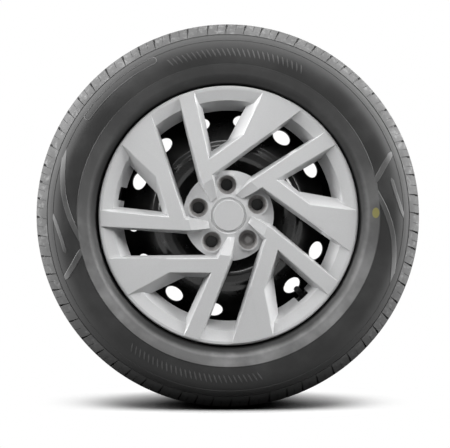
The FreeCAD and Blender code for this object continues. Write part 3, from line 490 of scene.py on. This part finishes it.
def tyre_section():
    """Half of the tyre's outline, (radius, out), from the tread's middle to the middle of the inside."""
    half = [(CROWN, 0.0)]
    for groove in GROOVES:
        half.append((crown_at(groove - GROOVE_TOP), groove - GROOVE_TOP))
        half.append((GROOVE_FLOOR, groove - GROOVE_FOOT))
        half.append((GROOVE_FLOOR, groove + GROOVE_FOOT))
        half.append((crown_at(groove + GROOVE_TOP), groove + GROOVE_TOP))
        if groove == GROOVES[0]:
            half.append((crown_at(LAND_MIDDLE), LAND_MIDDLE))
    half += [(crown_at(out), out) for out in TREAD_STOPS]
    half.append(TREAD_EDGE)
    half += arc(TREAD_EDGE, SHOULDER, SHOULDER_CURVE, SHOULDER_STEPS)
    half += [(radius, wall_out(radius) + height) for radius, height in WALL_RELIEF]
    half += [GUARD] + GUARD_FLANK + [LIP] + BEAD
    half += arc(BEAD[-1], INNER_WIDEST, INNER_LOWER_CURVE, INNER_STEPS)
    half += arc(INNER_WIDEST, INNER_SHOULDER, INNER_UPPER_CURVE, INNER_STEPS)
    half.append((INNER_SHOULDER[0], INNER_FLAT))
    return half


def pitch_angles():
    """Angles of the parted columns round the tyre; every slot is as wide as a middling pitch's."""
    lengths = [PITCH_LENGTHS[kind] for kind in PITCHES]
    unit = TURN / sum(lengths)
    slot = unit * PARTS[SLOT_PART + 1]
    angles = []
    start = 0.0
    for length in lengths:
        width = length * unit
        for number, share in enumerate(PARTS):
            angles.append(start + (slot if number == SLOT_PART + 1 else share * width))
        start += width
    return angles


def radius_of(point):
    """Distance of a point from the spin axis, in millimetres."""
    return math.hypot(point.x, point.z) / MM


def shoulder_share(radius, out):
    """0 on the tread, rising to 1 at the shoulder line, below it 1."""
    if abs(out) <= TREAD_EDGE[1]:
        return 0.0 if radius > INSIDE_LIMIT else 1.0
    return min(1.0, max(0.0, (TREAD_EDGE[0] - radius) / (TREAD_EDGE[0] - SHOULDER[0])))


def spin_tyre():
    """Plain tyre spun from its section in even columns."""
    half = tyre_section()
    section = half + [(radius, -out) for radius, out in half[:0:-1]]
    bm = bmesh.new()
    ring = [bm.verts.new((radius * MM, -out * MM, 0.0)) for radius, out in section]
    edges = [bm.edges.new((a, b)) for a, b in zip(ring, ring[1:] + ring[:1])]
    bmesh.ops.spin(bm, geom=ring + edges, cent=(0, 0, 0), axis=(0, -1, 0), angle=TURN, steps=COLUMNS,
                   use_merge=True)
    bmesh.ops.remove_doubles(bm, verts=bm.verts, dist=SPIN_MERGE * MM)
    bmesh.ops.recalc_face_normals(bm, faces=bm.faces)
    return bm


def slots_and_sipes(bm):
    """Faces of the evenly spun tyre that become slots, and those that become sipes."""
    slots = []
    sipes = []
    for face in bm.faces:
        middle = face.calc_center_median()
        radius = radius_of(middle)
        out = abs(middle.y) / MM
        part = int(math.atan2(middle.z, middle.x) % TURN / TURN * COLUMNS) % len(PARTS)
        on_land = radius > GROOVE_FLOOR + LAND_OVER_FLOOR and abs(face.normal.y) < LAND_TILT
        on_shoulder = out > TREAD_EDGE[1] and radius > SHOULDER[0]
        if part == SLOT_PART and out > SLOT_START and radius > SHOULDER[0] + SLOT_OVER_SHOULDER:
            slots.append(face)
        elif part == SIPE_PART and (on_land or on_shoulder) and shoulder_share(radius, out) < SIPE_REACH:
            sipes.append(face)
    return slots, sipes


def move_columns(bm):
    """Move the even columns to their pitches; slots taper and slant towards the shoulder."""
    angles = pitch_angles()
    for vert in bm.verts:
        number = round(math.atan2(vert.co.z, vert.co.x) % TURN / TURN * COLUMNS) % COLUMNS
        radius = math.hypot(vert.co.x, vert.co.z)
        out = -vert.co.y / MM
        share = shoulder_share(radius / MM, out)
        angle = angles[number]
        part = number % len(PARTS)
        if part in (SLOT_PART, SLOT_PART + 1):
            first = number - part
            middle = (angles[first] + angles[first + 1]) / 2
            angle = middle + (angle - middle) * (1 - SLOT_TAPER * share)
        angle += math.copysign(SLOT_SLANT, out) * share
        vert.co.x = radius * math.cos(angle)
        vert.co.z = radius * math.sin(angle)
    bm.normal_update()


def sink(bm, faces, depth):
    """Sink faces of the tread, less deep towards the shoulder."""
    bmesh.ops.inset_region(bm, faces=faces, thickness=SLOT_EDGE * MM, use_even_offset=True,
                           use_boundary=True)
    bm.normal_update()
    moves = {}
    for face in faces:
        for vert in face.verts:
            share = shoulder_share(radius_of(vert.co), vert.co.y / MM)
            moves[vert] = vert.normal * (depth * MM * (1 - SLOT_FADE * share))
    for vert, move in moves.items():
        vert.co -= move


def make_tyre():
    """Tyre with its slots and sipes, in tread rubber above the shoulder line and wall rubber below."""
    bm = spin_tyre()
    slots, sipes = slots_and_sipes(bm)
    move_columns(bm)
    sink(bm, slots, SLOT_DEPTH)
    sink(bm, sipes, SIPE_DEPTH)
    for face in bm.faces:
        face.material_index = int(radius_of(face.calc_center_median()) > SHOULDER[0] + TREAD_OVER_SHOULDER)
    tyre = finish_piece(bm, "tyre_rubber", wall_rubber("wall_rubber", highlight_lift=1.0), "wheel", SHARP)
    tyre.data.materials.append(tread_rubber())
    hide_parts("tyre")


def rib_point(angle, radius, height):
    """A point over the outboard sidewall."""
    return Vector((radius * math.cos(angle), -(wall_out(radius) + height), radius * math.sin(angle))) * MM


def smooth_path(points, count):
    """Points along a smooth curve through the given ones, in steps of even share."""
    ends = [points[0]] + points + [points[-1]]
    path = []
    for number in range(count + 1):
        place = number / count * (len(points) - 1)
        index = min(int(place), len(points) - 2)
        t = place - index
        a, b, c, d = ends[index:index + 4]
        path.append(tuple(
            0.5 * (2 * b[k] + (c[k] - a[k]) * t + (2 * a[k] - 5 * b[k] + 4 * c[k] - d[k]) * t * t
                   + (3 * b[k] - a[k] - 3 * c[k] + d[k]) * t ** 3) for k in (0, 1)))
    return path


def add_rib(bm, path, width, height, taper):
    """A raised bar on the sidewall along (radians, radius) points: a grid wrapped round it."""
    count = len(path)
    columns = len(RIB_SECTION)
    made = bmesh.ops.create_grid(bm, x_segments=columns - 1, y_segments=count - 1, size=1.0)["verts"]
    for number, vert in enumerate(made):
        row = number // columns
        side, level = RIB_SECTION[number % columns]
        angle, radius = path[row]
        before = path[max(row - 1, 0)]
        after = path[min(row + 1, count - 1)]
        run = Vector(((after[0] - before[0]) * radius, after[1] - before[1])).normalized()
        share = row / (count - 1)
        fade = min(1.0, share / taper, (1 - share) / taper) if taper else 1.0
        shift = side * width * (RIB_END_WIDTH + (1 - RIB_END_WIDTH) * fade)
        if level > 0:
            level *= RIB_END_HEIGHT + (1 - RIB_END_HEIGHT) * fade
        vert.co = rib_point(angle - run.y * shift / radius, radius + run.x * shift, height * level)


def frame_outline():
    """Closed path of the outlined frame: two long sides and two round ends."""
    start, end = FRAME_ENDS
    path = []
    for side, first, last in ((FRAME_HALF, start, end), (-FRAME_HALF, end, start)):
        for number in range(FRAME_STEPS + 1):
            angle = first + (last - first) * number / FRAME_STEPS
            path.append((math.radians(angle), FRAME_MIDDLE + side))
        for number in range(1, FRAME_END_STEPS):
            turn = math.pi * number / FRAME_END_STEPS
            bulge = side / FRAME_MIDDLE * math.sin(turn)
            path.append((math.radians(last) + bulge, FRAME_MIDDLE + side * math.cos(turn)))
    return path + path[:1]


def make_wall_ribs(finish):
    """Raised ribs, the outlined frame and two bands of plain bars on the outboard sidewall."""
    bm = bmesh.new()
    for half_turn in (0.0, 180.0):
        for points, width in WALL_RIBS:
            path = [(math.radians(a + half_turn), r) for a, r in smooth_path(points, RIB_STEPS)]
            add_rib(bm, path, width, RIB_HEIGHT, RIB_TAPER)
    add_rib(bm, frame_outline(), FRAME_LINE, FRAME_HEIGHT, taper=0)
    shares = [number / BAR_STEPS for number in range(BAR_STEPS + 1)]
    for start, end in BAR_BANDS:
        for number in range(round((end - start) / BAR_PITCH)):
            angle = start + number * BAR_PITCH
            path = [(math.radians(angle + BAR_SLANT * share), BAR_FOOT + BAR_LENGTH * share)
                    for share in shares]
            add_rib(bm, path, BAR_WIDTH, BAR_HEIGHT, BAR_TAPER)
    bmesh.ops.remove_doubles(bm, verts=bm.verts, dist=FINE_MERGE * MM)
    bmesh.ops.holes_fill(bm, edges=bm.edges, sides=4)
    bmesh.ops.recalc_face_normals(bm, faces=bm.faces)
    finish_piece(bm, "sidewall_ribs", finish, "wheel", SHARP_RIB)


def on_arm_rim(edge):
    """Whether an edge lies between an arm's face and its side wall."""
    radii = [radius_of(vert.co) for vert in edge.verts]
    out = min(-vert.co.y / MM for vert in edge.verts)
    wall, face = sorted(-face.normal.y for face in edge.link_faces)
    inside = min(radii) > ARM_RADII[0] and max(radii) < ARM_RADII[1] and out > ARM_OUT
    return inside and face > ARM_FACE_TILT and wall < ARM_WALL_TILT


def softened(node, name, finish, body, width, crease, sharp, chosen=None):
    """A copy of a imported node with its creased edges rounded, all of them or the chosen ones."""
    bm = bmesh.new()
    bm.from_mesh(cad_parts[node].data)
    bmesh.ops.remove_doubles(bm, verts=bm.verts, dist=NODE_MERGE * MM)
    bmesh.ops.dissolve_limit(bm, angle_limit=NODE_FLAT, verts=bm.verts, edges=bm.edges)
    limit = math.radians(crease)
    creased = [edge for edge in bm.edges if len(edge.link_faces) == 2 and edge.calc_face_angle(0.0) > limit]
    edges = [edge for edge in creased if chosen(edge)] if chosen else creased
    bmesh.ops.bevel(bm, geom=edges, offset=width * MM, segments=2, profile=0.5, affect="EDGES", material=-1,
                    clamp_overlap=False, loop_slide=True)
    piece = finish_piece(bm, name, finish, body, sharp)
    flat = piece.modifiers.new("flat_faces", "WEIGHTED_NORMAL")
    flat.keep_sharp = True
    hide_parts(node)


def make_spring_coil(finish):
    """A merged copy of the valve's spring, in a mesh of its own."""
    bm = bmesh.new()
    bm.from_mesh(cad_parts["valve_spring"].data)
    bmesh.ops.remove_doubles(bm, verts=bm.verts, dist=FINE_MERGE * MM)
    coil = finish_piece(bm, "spring_coil", finish, "wheel", SHARP)
    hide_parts("valve_spring")
    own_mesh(coil)


def seen_share(f, mirror=1.0):
    """1 for rays that show the background: from the camera, passed through, or mirrored by a share."""
    return f.math("ADD", f.ray("Camera") + f.ray("Transmission"), f.ray("Glossy") * mirror, clamp=True)


def pale_floor():
    """White where it is seen, with the wheel's cast shadow and a painted shadow round it, and pure white
    further off.

    It throws little light back.
    """
    f = new_finish("pale_floor")
    spot = f.spot()
    spread = f.away(f.axis(spot, "X"), f.axis(spot, "Y") - SHADOW_BACK)
    far = f.step(spread, WHITE_SPAN)
    share = seen_share(f)
    open_sky = f.node("ShaderNodeAmbientOcclusion", {"samples": 8}, {"Distance": SHADOW_REACH * MM}, "AO")
    # Painted shadow: a round dark span round the wheel, times ambient occlusion.
    tone = f.blend(open_sky * f.step(spread, PAINTED_SHADOW_SPAN), grey(0.0), grey(FLOOR_WHITE))
    lit = f.node("ShaderNodeBsdfDiffuse", None, {"Color": f.blend(share, grey(FLOOR_BOUNCE), tone)})
    white = f.node("ShaderNodeEmission", None, {"Color": grey(1.0), "Strength": 1.0})
    mixed = f.node("ShaderNodeMixShader", None, {0: far * share, 1: lit, 2: white})
    f.feed(f.tree.nodes["Material Output"].inputs["Surface"], mixed)
    return f.owner


def make_floor():
    """Pale floor that keeps the wheel's cast shadow, with a painted shadow round it."""
    bm = bmesh.new()
    bmesh.ops.create_grid(bm, x_segments=1, y_segments=1, size=FLOOR_HALF * MM)
    bmesh.ops.translate(bm, verts=bm.verts, vec=(0, 0, -CROWN * MM))
    mesh = bpy.data.meshes.new("floor")
    bm.to_mesh(mesh)
    bm.free()
    mesh.materials.append(pale_floor())
    floor = bpy.data.objects.new("floor", mesh)
    scene.collection.objects.link(floor)


def make_world():
    """White studio: full white where it is seen; it lights from above and leaves the camera's side dim."""
    world = bpy.data.worlds.new("studio")
    scene.world = world
    f = Finish(world)
    way = f.node("ShaderNodeTexCoord", output="Generated")
    depth = f.node("ShaderNodeSeparateXYZ", None, {0: way}, "Y")
    height = f.node("ShaderNodeSeparateXYZ", None, {0: way}, "Z")
    lit = SKY_LOW + f.step(height, SKY_RISE) * SKY_HIGH
    share = seen_share(f, f.step(depth, SKY_BEHIND))
    background = f.tree.nodes["Background"]
    f.feed(background.inputs["Color"], grey(1.0))
    f.feed(background.inputs["Strength"], lit + share * (1.0 - lit))


def add_softbox(name, place, size, power):
    """Area lamp that looks at the wheel."""
    lamp = bpy.data.lights.new(name, "AREA")
    lamp.shape = "RECTANGLE"
    lamp.size, lamp.size_y = size
    lamp.energy = power
    holder = bpy.data.objects.new(name, lamp)
    holder.location = place
    holder.rotation_euler = (-Vector(place)).to_track_quat("-Z", "Y").to_euler()
    scene.collection.objects.link(holder)


def make_camera():
    """Camera nearly straight in front, a little to the left."""
    data = bpy.data.cameras.new("camera")
    data.sensor_width = SENSOR_WIDTH
    data.lens = (CAMERA_DISTANCE - FACE_OUT) / METRES_PER_PIXEL / (PICTURE_WIDTH / SENSOR_WIDTH)
    data.shift_x = CAMERA_SHIFT[0] / PICTURE_WIDTH
    data.shift_y = CAMERA_SHIFT[1] / PICTURE_WIDTH
    camera = bpy.data.objects.new("camera", data)
    place = Vector((math.sin(CAMERA_AZIMUTH), -math.cos(CAMERA_AZIMUTH), 0.0)) * CAMERA_DISTANCE
    camera.location = place
    camera.rotation_euler = (-place).to_track_quat("-Z", "Y").to_euler()
    scene.collection.objects.link(camera)
    scene.camera = camera


make_tyre()
# The ribs' paler rubber is a painted highlight.
make_wall_ribs(wall_rubber("rib_rubber_painted_highlight", highlight_lift=2.6))
enamel = black_enamel()
softened("wheel_cover", "cover_moulding", silver_lacquer(), "cover", width=1.2, crease=22.0,
         sharp=SHARP_COVER, chosen=on_arm_rim)
softened("wheel_disc", "disc_pressing", enamel, "wheel", width=1.8, crease=12.0, sharp=SHARP)
softened("wheel_rim", "rim_strip", enamel, "wheel", width=1.0, crease=12.0, sharp=SHARP)
brass = plain_finish("brass", (0.62, 0.45, 0.20, 1), (0.75, 0.57, 0.30, 1), rough=0.25, metallic=1.0)
steel = plain_finish("spring_steel", (0.42, 0.42, 0.43, 1), (0.58, 0.58, 0.60, 1), rough=0.25, metallic=1.0)
stem_rubber = plain_finish("stem_rubber", grey(0.015), grey(0.03), rough=0.5)
cap_plastic = plain_finish("cap_plastic", grey(0.012), grey(0.022), rough=0.35)
NODE_FINISHES = {
    "cover_retaining_ring": steel, "valve_stem": stem_rubber, "valve_tube": brass, "valve_core": brass,
    "core_seal": stem_rubber, "valve_pin": steel, "pin_seal": stem_rubber, "valve_cap": cap_plastic,
}
for node_name, node_finish in NODE_FINISHES.items():
    node_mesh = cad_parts[node_name].data
    node_mesh.materials.clear()
    node_mesh.materials.append(node_finish)
make_spring_coil(steel)
make_floor()
make_world()
for lamp_row in LAMPS:
    add_softbox(*lamp_row)
make_camera()
